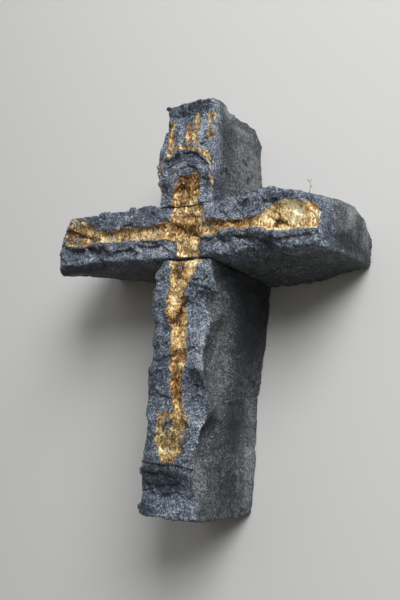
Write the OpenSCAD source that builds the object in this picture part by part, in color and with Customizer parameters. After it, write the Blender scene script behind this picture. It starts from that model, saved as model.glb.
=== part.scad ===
// Rough-hewn wall cross of three granite blocks: a head, a crossbar and a shaft.
// A channel in the shape of a cross is sunk into the rock face, ready for gilding.
// The origin is the middle of the crossing, on the wall. +X runs to the right arm,
// +Y into the wall and +Z up. Every back lies flat on y = 0.

/* [Stones] */
// How far the stones stand out from the wall
stone_depth = 150; // [110:1:190]
// Width of the shaft across its front
shaft_w = 94; // [70:1:120]
// Height of the shaft below the crossbar
shaft_h = 364; // [290:1:440]
// Width of the head block across its front
head_w = 84; // [66:1:105]
// Height of the head block above the crossbar
head_h = 160; // [125:1:195]
// How far the head block sits left of the shaft's middle line
head_shift = 9; // [0:1:14]
// Height of the crossbar between its two seats, at the front
bar_h = 76; // [60:1:96]
// Reach of the left arm from the shaft's middle line, at its widest
left_reach = 268; // [215:1:325]
// Reach of the right arm from the shaft's middle line, at its front
right_reach = 218; // [175:1:270]
// How much further the right end reaches at the wall than at its front
end_splay = 7; // [0:1:16]

/* [Joints] */
// Gap of the dry joint between two blocks
joint_gap = 0.3; // [0.1:0.1:1]
// How much lower the crossbar's underside lies at the wall than at its front
seat_fall = 22; // [0:1:30]
// How far the worn front lip of the shaft lies below the joint
lip_wear = 2; // [0:0.5:4]

/* [Channel] */
// Width of the sunk channel where it is narrow
channel_w = 20; // [14:1:26]
// Depth of the sunk channel
channel_depth = 4; // [2:0.5:7]
// Run of the channel's sloping wall
channel_wall = 2.5; // [1:0.5:4]
// Bare stone left below the foot of the channel
toe_h = 74; // [50:1:100]
// Height that the channel climbs into the head block
head_climb = 46; // [30:1:60]

/* [Tooling] */
// How much the hammer leaves a rock face uneven
rock_rough = 1.5; // [0:0.1:3]
// How much the split side faces are uneven
side_rough = 0.7; // [0:0.1:1.5]

/* [Hidden] */

stone_grey = "#535b63";
bar_grey = "#5b636b";
head_grey = "#4b5259";

seat_top = bar_h / 2;
seat_bottom = -bar_h / 2;
head_left = -head_shift - head_w / 2;
head_right = -head_shift + head_w / 2;
seat_margin = 5;
seat_half = max(shaft_w / 2, -head_left) + seat_margin;
crossing_half = 1.35 * channel_w;

// Stock left behind the wall plane, cut off so that each back is one true plane
back_stock = 2;
cut_size = 2000;

// Cells along each stone, across a strip of bare front, across the channel
// and back into the wall
strip_cells = 3;
channel_cells = 4;
front_cells = 2 * strip_cells + channel_cells;
depth_steps = [0, 0.06, 0.14, 0.24, 0.36, 0.5, 0.66, 0.83, 1];
depth_cells = len(depth_steps) - 1;

// Share of the hammer's unevenness that is left on the channel's floor
floor_calm = 0.5;
// Lattice rows of the random numbers for the end caps
cap_row = 99;
left_end_row = 96;
right_end_row = 98;

// ---- Small helpers ----

function mix(a, b, t) = a + (b - a) * t;
function clamp(t) = min(1, max(0, t));
function ease(t) = let(c = clamp(t)) c * c * (3 - 2 * c);
function total(list) = len(list) == 0 ? 0 : list * [for (item = list) 1];

// Even steps from a to b, without b
function steps(a, b, n) = [for (i = [0:n - 1]) mix(a, b, i / n)];

// A repeatable random number from -1 to 1 for a lattice point
function chance(stone, i, j, k) =
    rands(-1, 1, 1, stone * 1000000 + i * 10000 + j * 100 + k)[0];

// A hammer scoop: [across, along, half width, half length, depth]
function scoop(s, across, along) =
    let(r = norm([(across - s[0]) / s[2], (along - s[1]) / s[3]]))
    r >= 1 ? 0 : s[4] * (1 - r * r);
function scoops(list, across, along) =
    total([for (s = list) scoop(s, across, along)]);

// A hollow that leans back from a small step at `from` to its deepest line and
// comes forward again at `to`
function hollow(along, from, deepest, to, step, depth, rest) =
    along > from ? 0 :
    along > deepest ? mix(step, depth, (from - along) / (from - deepest)) :
    depth * mix(1, rest, ease((deepest - along) / (deepest - to)));

// Place across the front of lattice column j, with lips on the channel's edges
function column(j, low, high, centre, half) =
    let(
        a = centre - half,
        b = centre + half,
        wall = min(channel_wall, half / 2)
    )
    j <= strip_cells ? mix(low, a, j / strip_cells) :
    j == strip_cells + 1 ? a + wall :
    j == strip_cells + 2 ? centre :
    j == strip_cells + 3 ? b - wall :
    mix(b, high, (j - strip_cells - channel_cells) / strip_cells);

// True for the columns on the channel's floor
function on_floor(j) = j > strip_cells && j < strip_cells + channel_cells;

// ---- The shell of one stone ----

// A closed shell over a lattice of cells. at(i, j, k) gives each point: i counts
// along the stone, j across its front and k back into the wall.
module lattice_shell(na, nb, nc, at) {
    ring = 2 * (nb + nc);
    inner = (nb - 1) * (nc - 1);
    walk = concat(
        [for (j = [0:nb - 1]) [j, 0]],
        [for (k = [0:nc - 1]) [nb, k]],
        [for (j = [nb:-1:1]) [j, nc]],
        [for (k = [nc:-1:1]) [0, k]]
    );
    function slot(j, k) =
        k == 0 ? j : j == nb ? nb + k : k == nc ? 2 * nb + nc - j : ring - k;
    function cap(end, j, k) =
        j == 0 || j == nb || k == 0 || k == nc
            ? end * na * ring + slot(j, k)
            : (na + 1) * ring + end * inner + (j - 1) * (nc - 1) + k - 1;
    points = concat(
        [for (i = [0:na]) for (w = walk) at(i, w[0], w[1])],
        [for (end = [0, 1]) for (j = [1:nb - 1]) for (k = [1:nc - 1]) at(end * na, j, k)]
    );
    side_faces = [
        for (i = [0:na - 1]) for (s = [0:ring - 1])
        let(
            next = (s + 1) % ring,
            a = i * ring + s,
            b = i * ring + next,
            c = (i + 1) * ring + next,
            d = (i + 1) * ring + s
        )
        each (i + s) % 2 == 0 ? [[a, b, c], [a, c, d]] : [[a, b, d], [b, c, d]]
    ];
    cap_faces = [
        for (end = [0, 1]) for (j = [0:nb - 1]) for (k = [0:nc - 1])
        let(
            a = cap(end, j, k),
            b = cap(end, j + 1, k),
            c = cap(end, j + 1, k + 1),
            d = cap(end, j, k + 1)
        )
        each end == 0 ? [[a, c, b], [a, d, c]] : [[a, b, c], [a, c, d]]
    ];
    polyhedron(points, concat(side_faces, cap_faces));
}

// Trims the stock behind the wall plane
module flat_back() {
    difference() {
        children();
        translate([-cut_size / 2, 0, -cut_size / 2]) cube([cut_size, cut_size, cut_size]);
    }
}

// ---- Shaft ----
// Tables run from 0 at the shaft's top to 1 at its foot, in millimetres beside it.

// How far the left edge stands in (+) or out (-)
shaft_left = [[0, 4], [0.03, 0], [0.06, -6], [0.13, -4], [0.2, -7], [0.27, 0], [0.39, -1],
    [0.44, -7], [0.5, -4], [0.58, 0], [0.75, 0], [0.8, -4], [0.86, -8], [0.92, -4], [1, -3]];
// How far the right edge stands out (+) or in (-)
shaft_right = [[0, -2], [0.14, 3], [0.215, 8], [0.27, 1], [0.36, -4], [0.46, -2],
    [0.54, 1], [0.6, 7], [0.66, 1], [0.77, -5], [0.86, -5], [0.93, -1], [1, 1]];
// How far the right side stands out (+) or in (-) at the wall
shaft_wall_edge = [[0, 9], [0.2, 8], [0.38, 3], [0.55, -1], [0.7, -1], [0.82, 0], [0.95, 0],
    [1, -2]];
// How far the scalloped right arris lies behind the rock face
shaft_arris = [[0, 3], [0.06, 14], [0.14, 24], [0.215, 33], [0.27, 15], [0.36, 8],
    [0.46, 8], [0.54, 14], [0.6, 26], [0.66, 15], [0.76, 6], [0.86, 5], [0.94, 12], [1, 9]];
// The channel: its middle line, and its width as a share of channel_w
shaft_run = [[0, 3], [0.05, 2], [0.16, -6], [0.21, -9], [0.25, 7], [0.36, 7], [0.5, 4],
    [0.63, 11], [0.66, 5], [0.8, 1]];
shaft_share = [[0, 2.7], [0.05, 2.3], [0.11, 1.6], [0.21, 1.1], [0.25, 1], [0.32, 1.2],
    [0.5, 1], [0.63, 0.95], [0.66, 2.5], [0.74, 2.2], [0.8, 1.5]];
shaft_scoops = [
    [30, -112, 24, 34, 8],
    [34, -238, 22, 40, 7],
    [-6, -131, 13, 13, 6],
    [-40, -190, 14, 30, 3],
    [-36, -300, 14, 26, 3]
];
side_scoops = [
    [-100, -180, 42, 86, 5],
    [-128, -277, 22, 26, 5],
    [-136, -344, 24, 44, 5],
    [-12, -225, 16, 34, 6]
];
shaft_top = seat_bottom - joint_gap;
shaft_foot = shaft_top - shaft_h;
channel_foot = shaft_foot + toe_h;
toe_step = 2;
toe_hollow = 9;
toe_deepest = 27;
toe_end = 12;
toe_rest = 0.3;
// How far the foot falls towards the wall, and the wear of its corner there
foot_slope = 2;
corner_wear = 3;
corner_run = 12;
// How far the front's left edge is turned back, and over what width
left_turn = 4;
left_turn_run = 14;
// Place across the front where the slope to the right arris starts
arris_start = 12;
arris_curve = 1.6;
// Shares of the height over which the top lip is worn, and how far back it wears
lip_share = 30;
lip_back = 3;
// Depths over which each side runs out to its line at the wall
left_run = 60;
left_spread = 2;
right_run = 110;
// Rows of the shell: close at the lip and the foot, with one on the channel's foot
lip_row = 0.02;
jog_row = 0.2;
toe_row = 1 - toe_h / shaft_h;
under_toe_row = toe_row + 0.011;
foot_row = 0.97;
shaft_rows = concat(
    [0],
    steps(lip_row, jog_row, 9),
    steps(jog_row, toe_row, 22),
    [toe_row],
    steps(under_toe_row, foot_row, 8),
    [foot_row, (foot_row + 1) / 2, 1]
);

// Height of the sloping joint under the crossbar, at depth y
function under_seat(y) = seat_bottom - seat_fall * clamp((y + stone_depth) / stone_depth);

function shaft_point(i, j, k) =
    let(
        t = shaft_rows[i],
        z_front = mix(shaft_top, shaft_foot, t),
        low = -shaft_w / 2 + lookup(t, shaft_left),
        high = shaft_w / 2 + lookup(t, shaft_right),
        centre = lookup(t, shaft_run),
        half = channel_w / 2 * lookup(t, shaft_share),
        x_front = column(j, low, high, centre, half),
        share = (x_front - low) / (high - low),
        sunk = on_floor(j) && z_front > channel_foot ? channel_depth : 0,
        toward_left = clamp((low + left_turn_run - x_front) / left_turn_run),
        toward_right = clamp((x_front - arris_start) / (high - arris_start)),
        lip = lip_wear * ease(1 - t * lip_share),
        y_front = -stone_depth + sunk + left_turn * pow(toward_left, 2)
            + lookup(t, shaft_arris) * pow(toward_right, arris_curve)
            + scoops(shaft_scoops, x_front, z_front)
            + hollow(z_front, channel_foot, shaft_foot + toe_deepest, shaft_foot + toe_end,
                toe_step, toe_hollow, toe_rest)
            + rock_rough * chance(1, i, j, 0) * (on_floor(j) ? floor_calm : 1)
            + lip_back * lip,
        y = mix(y_front, back_stock, depth_steps[k]),
        rough = side_rough * chance(1, i, j, k),
        left = low + left_spread * ease((y - y_front) / left_run) + rough,
        at_wall = shaft_w / 2 + lookup(t, shaft_wall_edge),
        right = mix(high, at_wall, ease((y - y_front) / right_run)) + rough
            - scoops(side_scoops, y, z_front),
        foot_fall = foot_slope * clamp((y + stone_depth) / stone_depth)
            - corner_wear * pow(clamp(y / corner_run + 1), 2),
        top = under_seat(y) - joint_gap - (k == 0 ? lip : 0),
        foot = shaft_foot - foot_fall + side_rough * chance(1, cap_row, j, k)
    )
    [k == 0 ? x_front : mix(left, right, share), y, mix(top, foot, t)];

module shaft_block() {
    color(stone_grey)
    flat_back()
    lattice_shell(len(shaft_rows) - 1, front_cells, depth_cells,
        function(i, j, k) shaft_point(i, j, k));
}

// ---- Head ----
// Tables run from 0 at the head's top to 1 at the joint with the crossbar.

head_left_edge = [[0, -6], [0.1, -3], [0.14, -1], [0.3, -3], [0.38, -6], [0.46, -11],
    [0.56, -13], [0.6, -8], [0.8, -5], [0.93, -4], [1, -2]];
head_right_edge = [[0, -1], [0.2, 4], [0.45, 8], [0.55, 7], [0.75, 9], [0.88, 6], [1, 2]];
head_run = [[0, -1], [0.7, -1], [1, -4]];
head_share = [[0, 1.6], [0.7, 1.9], [0.8, 2.3], [1, 2.5]];
head_scoops = [
    [-32, 112, 20, 10, 5],
    [-2, 116, 20, 8, 6],
    [-20, 92, 16, 8, -3],
    [32, 62, 14, 22, 4]
];
// How far the right side stands out (+) or in (-) at the wall
head_wall_edge = [[0, -9], [0.3, -8], [0.45, -4], [0.55, -3], [0.64, 0], [1, 2]];
// How far both upright front edges are turned back, and how tightly
head_turn = 3.5;
head_turn_curve = 4;
// Depth over which each side runs out to its line at the wall
head_run_back = 60;
// The pitched top of the front: its height, its run below and its depth
pitched_h = 20;
pitched_run = 46;
pitched_depth = 6;
// The top: its rise behind the front, the broken step and the worn back shoulder
crest_drop = 2;
crest_rise = 5;
crest_run = 30;
step_depth = 6;
step_place = 48;
step_run = 6;
shoulder_drop = 26;
shoulder_run = 36;
head_top = seat_top + joint_gap + head_h;
climb_row = 1 - head_climb / head_h;
head_rows = concat(
    steps(0, pitched_h / head_h, 3),
    steps(pitched_h / head_h, climb_row, 8),
    steps(climb_row, 1, 6),
    [1]
);

function head_point(i, j, k) =
    let(
        t = head_rows[i],
        base = seat_top + joint_gap,
        z_front = mix(head_top, base, t),
        low = head_left + lookup(t, head_left_edge),
        high = head_right + lookup(t, head_right_edge),
        centre = lookup(t, head_run),
        half = channel_w / 2 * lookup(t, head_share),
        x_front = column(j, low, high, centre, half),
        share = (x_front - low) / (high - low),
        sunk = on_floor(j) && z_front < base + head_climb ? channel_depth : 0,
        edge = abs(share - 0.5) * 2,
        y_front = -stone_depth + sunk + head_turn * pow(edge, head_turn_curve)
            + pitched_depth * min(clamp((head_top - z_front) / pitched_h),
                clamp(1 - (head_top - pitched_h - z_front) / pitched_run))
            + scoops(head_scoops, x_front, z_front)
            + rock_rough * chance(2, i, j, 0) * (on_floor(j) ? floor_calm : 1),
        y = mix(y_front, back_stock, depth_steps[k]),
        rough = side_rough * chance(2, i, j, k),
        inward = ease((y - y_front) / head_run_back),
        left = mix(low, head_left, inward) + rough,
        right = mix(high, head_right + lookup(t, head_wall_edge), inward) + rough,
        shoulder = shoulder_drop * pow(clamp(y / shoulder_run + 1), 2),
        step = step_depth * ease((y + stone_depth - step_place) / step_run),
        crest = head_top - crest_drop + crest_rise * ease((y + stone_depth) / crest_run)
            - step - shoulder + side_rough * chance(2, cap_row, j, k)
    )
    [k == 0 ? x_front : mix(left, right, share), y, mix(crest, base, t)];

module head_block() {
    color(head_grey)
    flat_back()
    lattice_shell(len(head_rows) - 1, front_cells, depth_cells,
        function(i, j, k) head_point(i, j, k));
}

// ---- Crossbar ----
// Tables run from -1 at the left end through 0 to 1 at the right end.

// The ragged front edges above and below the seats
bar_top_edge = [[-1, 1], [-0.92, 3], [-0.72, 4], [-0.64, 5], [-0.44, 5.5], [-0.36, 8],
    [-0.28, 9], [-0.22, 5], [-0.2, 0], [0.22, 0], [0.25, 4], [0.32, 8], [0.4, 9], [0.5, 11],
    [0.57, 11.5], [0.65, 10], [0.71, 7], [0.76, 4], [0.81, 0], [0.87, -2], [0.93, -6], [1, -11]];
bar_low_edge = [[-1, -5], [-0.9, -4], [-0.76, 0], [-0.66, 8], [-0.6, 3], [-0.38, 1], [-0.24, -5],
    [-0.2, 0], [0.22, 0], [0.27, -4], [0.34, -4], [0.42, 0], [0.5, 9], [0.6, 17],
    [0.66, 19], [0.7, 4], [0.8, -1], [0.92, 3], [1, 0]];
// The channel: its middle line, and its width as a share of channel_w
bar_run = [[-1, 12], [-0.76, 10], [-0.68, 6], [-0.55, 3], [0, 2], [0.3, 0], [0.58, 1],
    [0.72, 5], [0.9, 3], [1, 0]];
bar_share = [[-1, 2], [-0.76, 1.7], [-0.68, 1], [-0.4, 0.95], [-0.2, 1.2], [0, 1.3],
    [0.2, 0.9], [0.45, 0.65], [0.57, 0.8], [0.62, 1.3], [0.74, 2.1], [0.88, 1.8], [1, 1.5]];
bar_scoops = [
    [22, -205, 20, 30, 3],
    [-26, -190, 14, 44, 7],
    [0, -12, 12, 22, 2],
    [-4, 158, 8, 12, 6],
    [24, 92, 16, 34, 4],
    [-28, 120, 14, 30, 6]
];
// How far the left end leans out below its top, from the underside up
left_lean = [[0, 17], [0.12, 19], [0.3, 19], [0.5, 16], [0.75, 13], [0.9, 8], [1, 3]];
left_lean_most = 19;
left_top = left_reach - left_lean_most;
// The lean grows from nothing at this share of the arm to all of it at its end
lean_start = 0.375;
// The share of seat_fall that the underside keeps along each arm
bar_fall = [[-1, -0.22], [-0.85, -0.05], [-0.75, 0.18], [-0.5, 0.6], [-0.3, 1], [0.45, 1],
    [0.6, 0.82], [0.725, 0.5], [0.85, 0.18], [1, 0]];
// How far the left arm's underside hangs, by the share of the way back to the wall
droop_back = [[0, 0], [0.06, 10], [0.15, 10], [0.3, 6], [0.5, 5], [0.7, 2], [0.85, 0]];
droop_start = 0.35;
droop_run = 0.45;
// How far the front's lower, upper and end edges are turned back
low_turn = 3;
high_turn = 3;
end_turn = 3;
edge_share = 5;
// How uneven the broken ends are, against the sides
end_uneven = 2;
// Depth over which the ragged front edges fade, and what is left of them behind
edge_fade = 26;
edge_rest = 0.15;
// The right end: how it rounds over at the top and back
end_round = 18;
end_start = 0.9;
back_round = 22;
back_run = 40;
splay_run = 80;
top_wear = 0.5;
back_wear = 0.3;
back_wear_run = 50;
// Where the channel stops short of the left end, as a share of the arm
channel_left_end = 0.91;
// Columns of the shell: close at both ends, with some on the crossing and the seats
crossing_in = crossing_half - channel_wall / 2;
crossing_out = crossing_half + channel_wall / 2;
end_column = 0.97;
flare_column = 0.92;
seat_step = 0.02;
// A hair of tolerance, so that a column on the seat's edge counts as on the seat
hair = 0.01;
bar_columns = concat(
    [-1, -end_column],
    steps(-flare_column, -seat_half / left_top, 20),
    [-seat_half / left_top, -crossing_out / left_top, -crossing_in / left_top, 0],
    [crossing_in / right_reach, crossing_out / right_reach, seat_half / right_reach],
    steps(seat_half / right_reach + seat_step, end_column, 17),
    [end_column, (end_column + 1) / 2, 1]
);

function bar_point(i, j, k) =
    let(
        t = bar_columns[i],
        reach = t < 0 ? left_top : right_reach,
        x_front = t * reach,
        on_seat = abs(x_front) <= seat_half + hair,
        arm = on_seat ? 0 : 1,
        low = seat_bottom + arm * lookup(t, bar_low_edge),
        high = seat_top + arm * lookup(t, bar_top_edge),
        centre = lookup(t, bar_run),
        half = channel_w / 2 * lookup(t, bar_share),
        z_front = column(j, low, high, centre, half),
        share = (z_front - low) / (high - low),
        crossing = abs(x_front) < crossing_half,
        in_run = t > -channel_left_end && t < 1,
        sunk = crossing || (on_floor(j) && in_run) ? channel_depth : 0,
        near_end = clamp((abs(t) - end_start) / (1 - end_start)),
        y_front = -stone_depth + sunk
            + low_turn * pow(clamp(1 - share * edge_share), 2)
            + high_turn * pow(clamp(1 - (1 - share) * edge_share), 2)
            + end_turn * pow(near_end, 2)
            + scoops(bar_scoops, z_front, x_front)
            + rock_rough * chance(3, i, j, 0) * (on_floor(j) || crossing ? floor_calm : 1),
        y = mix(y_front, back_stock, depth_steps[k]),
        back = clamp((y + stone_depth) / stone_depth),
        fade = exp((y_front - y) / edge_fade),
        rough = arm * side_rough * chance(3, i, j, k),
        fall = seat_fall * back * (on_seat ? 1 : lookup(t, bar_fall)),
        droop = arm * ease((-t - droop_start) / droop_run) * lookup(back, droop_back),
        round_back = t > 0 ? back_round * pow(near_end, 2) * ease(y / back_run + 1) : 0,
        bottom = seat_bottom - fall - droop + arm * lookup(t, bar_low_edge) * fade + rough,
        top = seat_top + arm * lookup(t, bar_top_edge) * mix(edge_rest, 1, fade) + rough
            - round_back,
        up = mix(bottom, top, share),
        lean = t < 0 ? -lookup(share, left_lean) * clamp((-t - lean_start) / (1 - lean_start)) : 0,
        splay = t > 0 ? end_splay * t * clamp((y + stone_depth) / splay_run) : 0,
        worn_top = top_wear * pow(clamp(share * 2 - 1), 3)
            + back_wear * pow(clamp(y / back_wear_run + 1), 2),
        end_curve = t > 0 ? splay - end_round * pow(near_end, 2) * worn_top : 0,
        end_row = t < 0 ? left_end_row : right_end_row,
        end_rough = abs(t) == 1 ? end_uneven * side_rough * chance(3, end_row, j, k) : 0
    )
    [x_front + lean + end_curve + end_rough, y, k == 0 ? z_front : up];

module crossbar_block() {
    color(bar_grey)
    flat_back()
    lattice_shell(len(bar_columns) - 1, front_cells, depth_cells,
        function(i, j, k) bar_point(i, j, k));
}

head_block();
crossbar_block();
shaft_block();
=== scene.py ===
# %% [markdown]
# A wall cross of three rough-hewn granite blocks, with a gilded channel sunk into its
# rock face. The CAD model gives the three blocks their true size and place. This
# script keeps that frame and gives each block its broken surface, its crystals and
# its worn gold leaf.

# %% Load the frame
import math

import bmesh
import bpy
import numpy as np
from mathutils import Matrix, Vector


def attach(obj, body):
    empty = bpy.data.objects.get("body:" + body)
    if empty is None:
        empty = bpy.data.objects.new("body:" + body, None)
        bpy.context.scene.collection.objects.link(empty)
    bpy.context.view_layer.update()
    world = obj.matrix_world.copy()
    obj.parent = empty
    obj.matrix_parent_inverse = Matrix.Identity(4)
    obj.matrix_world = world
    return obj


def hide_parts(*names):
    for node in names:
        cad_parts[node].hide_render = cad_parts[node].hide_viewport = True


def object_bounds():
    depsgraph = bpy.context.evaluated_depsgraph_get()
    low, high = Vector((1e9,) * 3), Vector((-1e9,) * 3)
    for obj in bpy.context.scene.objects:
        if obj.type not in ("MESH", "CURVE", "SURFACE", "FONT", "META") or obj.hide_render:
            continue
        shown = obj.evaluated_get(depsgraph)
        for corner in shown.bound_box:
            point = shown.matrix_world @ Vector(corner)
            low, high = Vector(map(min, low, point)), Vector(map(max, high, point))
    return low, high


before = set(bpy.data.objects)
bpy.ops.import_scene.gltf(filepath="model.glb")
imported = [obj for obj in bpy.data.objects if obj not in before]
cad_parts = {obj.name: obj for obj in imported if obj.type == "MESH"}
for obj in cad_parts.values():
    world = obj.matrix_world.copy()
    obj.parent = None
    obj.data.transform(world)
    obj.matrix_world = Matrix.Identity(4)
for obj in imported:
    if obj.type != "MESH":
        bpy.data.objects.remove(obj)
cad_low, cad_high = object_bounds()
MM = 0.001
print("CAD box in mm:", [round(v / MM) for v in (*cad_low, *cad_high)])

# %% [markdown]
# The camera comes early, because every later choice is judged through it. It stands
# below the crossing, to the right of the cross, and looks up a little, held slightly
# askew as a hand-held camera is. Its three axes are worked out from the turn, the tilt
# and the lean, so each of them can be changed by itself.

# %% Camera
CAMERA_PLACE = Vector((0.673, -0.957, -0.247))
CAMERA_TURN = math.radians(38.2)
CAMERA_TILT = math.radians(8.0)
CAMERA_LEAN = math.radians(4.1)
CAMERA_LENS = 44.8


def make_camera():
    ahead = Vector((
        -math.sin(CAMERA_TURN) * math.cos(CAMERA_TILT),
        math.cos(CAMERA_TURN) * math.cos(CAMERA_TILT),
        math.sin(CAMERA_TILT),
    ))
    level = Vector((math.cos(CAMERA_TURN), math.sin(CAMERA_TURN), 0.0))
    above = level.cross(ahead)
    right = level * math.cos(CAMERA_LEAN) + above * math.sin(CAMERA_LEAN)
    up = above * math.cos(CAMERA_LEAN) - level * math.sin(CAMERA_LEAN)
    camera = bpy.data.objects.new("camera", bpy.data.cameras.new("camera"))
    bpy.context.scene.collection.objects.link(camera)
    turned = Matrix((right, up, -ahead)).transposed().to_4x4()
    camera.matrix_world = Matrix.Translation(CAMERA_PLACE) @ turned
    camera.data.lens = CAMERA_LENS
    bpy.context.scene.camera = camera
    return camera


print("camera lens:", make_camera().data.lens, "mm")

# %% [markdown]
# A node tree written out by hand is long, so small helpers carry the load. They add a
# node and fill its sockets by name, do arithmetic, mix colours, and make a colour ramp
# or a soft step. The last ones lay a noise or a pattern of cells, and use a noise to
# nudge a value or to bend a place. They work in shader and in geometry trees alike.

# %% Node helpers
HALF = (0.5, 0.5, 0.5)


def add(tree, kind, inputs=None, **settings):
    made = tree.nodes.new(kind)
    for name, value in settings.items():
        setattr(made, name, value)
    for key, value in (inputs or {}).items():
        if isinstance(value, bpy.types.NodeSocket):
            tree.links.new(value, made.inputs[key])
        else:
            made.inputs[key].default_value = value
    return made


def calc(tree, operation, *values, clamp=False):
    made = add(tree, "ShaderNodeMath", dict(enumerate(values)), operation=operation)
    made.use_clamp = clamp
    return made.outputs[0]


def vector(tree, operation, *values):
    made = add(tree, "ShaderNodeVectorMath", dict(enumerate(values)), operation=operation)
    return made.outputs["Value" if operation == "DOT_PRODUCT" else "Vector"]


def scaled(tree, value, factor):
    made = add(tree, "ShaderNodeVectorMath", {0: value, "Scale": factor}, operation="SCALE")
    return made.outputs["Vector"]


def mix_colour(tree, factor, first, second, blend="MIX"):
    made = add(tree, "ShaderNodeMix", data_type="RGBA", blend_type=blend)
    for socket, value in ((0, factor), (6, first), (7, second)):
        if isinstance(value, bpy.types.NodeSocket):
            tree.links.new(value, made.inputs[socket])
        elif socket:
            made.inputs[socket].default_value = (*value, 1.0)
        else:
            made.inputs[socket].default_value = value
    return made.outputs[2]


def ramp(tree, factor, stops):
    made = add(tree, "ShaderNodeValToRGB", {"Fac": factor})
    band = made.color_ramp
    while len(band.elements) < len(stops):
        band.elements.new(0.5)
    for element, (place, value) in zip(band.elements, stops):
        element.position = place
        shade = value if isinstance(value, tuple) else (value,) * 3
        element.color = (*shade, 1.0)
    return made.outputs["Color"]


def rise(tree, value, low, high):
    made = add(tree, "ShaderNodeMapRange", {"Value": value, "From Min": low, "From Max": high})
    made.interpolation_type = "SMOOTHSTEP"
    return made.outputs["Result"]


def noise(tree, where, scale, detail=2.0, rough=0.5):
    settings = {"Vector": where, "Scale": scale, "Detail": detail, "Roughness": rough}
    return add(tree, "ShaderNodeTexNoise", settings)


def cells(tree, where, scale, feature="F1"):
    return add(tree, "ShaderNodeTexVoronoi", {"Vector": where, "Scale": scale}, feature=feature)


def nudged(tree, base, value, amount):
    """The base, moved by amount times how far the value lies from one half."""
    return calc(tree, "MULTIPLY_ADD", calc(tree, "SUBTRACT", value, 0.5), amount, base)


def bent_place(tree, where, scale, detail, amount):
    """A place pushed about by a noise, so that straight cell edges come out crooked."""
    push = vector(tree, "SUBTRACT", noise(tree, where, scale, detail).outputs["Color"], HALF)
    return vector(tree, "ADD", where, scaled(tree, push, amount))


helpers = (add, calc, vector, scaled, mix_colour, ramp, rise, noise, cells, nudged, bent_place)
print("node helpers:", ", ".join(helper.__name__ for helper in helpers))

# %% [markdown]
# The stage is a plain pale wall plane just behind the cross and a plain pale floor
# below it. A real wall would hide the cross from behind and keep the light off its
# back, so this one shows only its front and casts no shadow. To the rays that carry
# bounced light the floor is much darker than it looks, which keeps the undersides dark.

# %% Stage
WALL_GAP = 0.8 * MM
STAGE_HALF = 4.0
FLOOR_DROP = 0.36
WALL_COLOUR = (0.60, 0.60, 0.595)
FLOOR_COLOUR = (0.60, 0.57, 0.50)
FLOOR_BOUNCE = 0.12


def stage_material(name, colour, glow):
    material = bpy.data.materials.new(name)
    material.use_nodes = True
    tree = material.node_tree
    tree.nodes.clear()
    light = add(tree, "ShaderNodeLightPath")
    back = add(tree, "ShaderNodeNewGeometry").outputs["Backfacing"]
    clear = calc(tree, "MAXIMUM", back, light.outputs["Is Shadow Ray"])
    dim = tuple(channel * glow for channel in colour)
    shown = mix_colour(tree, light.outputs["Is Diffuse Ray"], colour, dim)
    paint = add(tree, "ShaderNodeBsdfDiffuse", {"Color": shown})
    glass = add(tree, "ShaderNodeBsdfTransparent")
    mixed = add(tree, "ShaderNodeMixShader", {0: clear, 1: paint.outputs[0], 2: glass.outputs[0]})
    add(tree, "ShaderNodeOutputMaterial", {"Surface": mixed.outputs[0]})
    return material


def stage_plane(name, corners, material):
    mesh = bpy.data.meshes.new(name)
    mesh.from_pydata(corners, [], [range(len(corners))])
    mesh.materials.append(material)
    plane = bpy.data.objects.new(name, mesh)
    bpy.context.scene.collection.objects.link(plane)


floor_z = cad_low.z - FLOOR_DROP
wall_y = cad_high.y + WALL_GAP
left, right, top = -STAGE_HALF, STAGE_HALF, STAGE_HALF
near, far = -STAGE_HALF, STAGE_HALF
stage_plane(
    "wall",
    [(left, wall_y, floor_z), (right, wall_y, floor_z), (right, wall_y, top), (left, wall_y, top)],
    stage_material("pale_wall", WALL_COLOUR, 1.0),
)
stage_plane(
    "floor",
    [(left, near, floor_z), (right, near, floor_z), (right, far, floor_z), (left, far, floor_z)],
    stage_material("pale_floor", FLOOR_COLOUR, FLOOR_BOUNCE),
)
print("floor", round(floor_z / MM), "mm, wall", wall_y / MM, "mm")

# %% [markdown]
# The cross hangs outdoors under an open sky, so its light is broad and comes from
# above: the undersides go dark, and a soft shadow falls down the wall to the left. One
# large lamp does most of it, above the cross and in front of it to the right. A weak one
# behind the wall lights the back. The world adds a sky that is brighter overhead than at
# the horizon, while the camera and shiny surfaces see an even grey in its place.

# %% Light
SKY_TOP = 0.80
SKY_RIM = 0.25
EARTH = (0.112, 0.098, 0.064)
SKY_STOPS = [
    (0.0, EARTH), (0.48, EARTH), (0.54, SKY_RIM), (0.80, SKY_TOP * 0.7), (1.0, SKY_TOP)]
BACKDROP_GREY = 0.62
BACKDROP_IN_GLOSS = 0.6
KEY_PLACE = Vector((2.3, -2.4, 2.5))
KEY_SIZE = 2.5
KEY_WATTS = 240.0
BACK_PLACE = Vector((-0.8, 1.9, 1.2))
BACK_SIZE = 1.6
BACK_WATTS = 26.0


def make_lamp(name, place, size, watts):
    lamp = bpy.data.objects.new(name, bpy.data.lights.new(name, "AREA"))
    bpy.context.scene.collection.objects.link(lamp)
    lamp.data.size = size
    lamp.data.energy = watts
    lamp.location = place
    lamp.rotation_euler = (-place).to_track_quat("-Z", "Y").to_euler()
    return lamp


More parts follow.
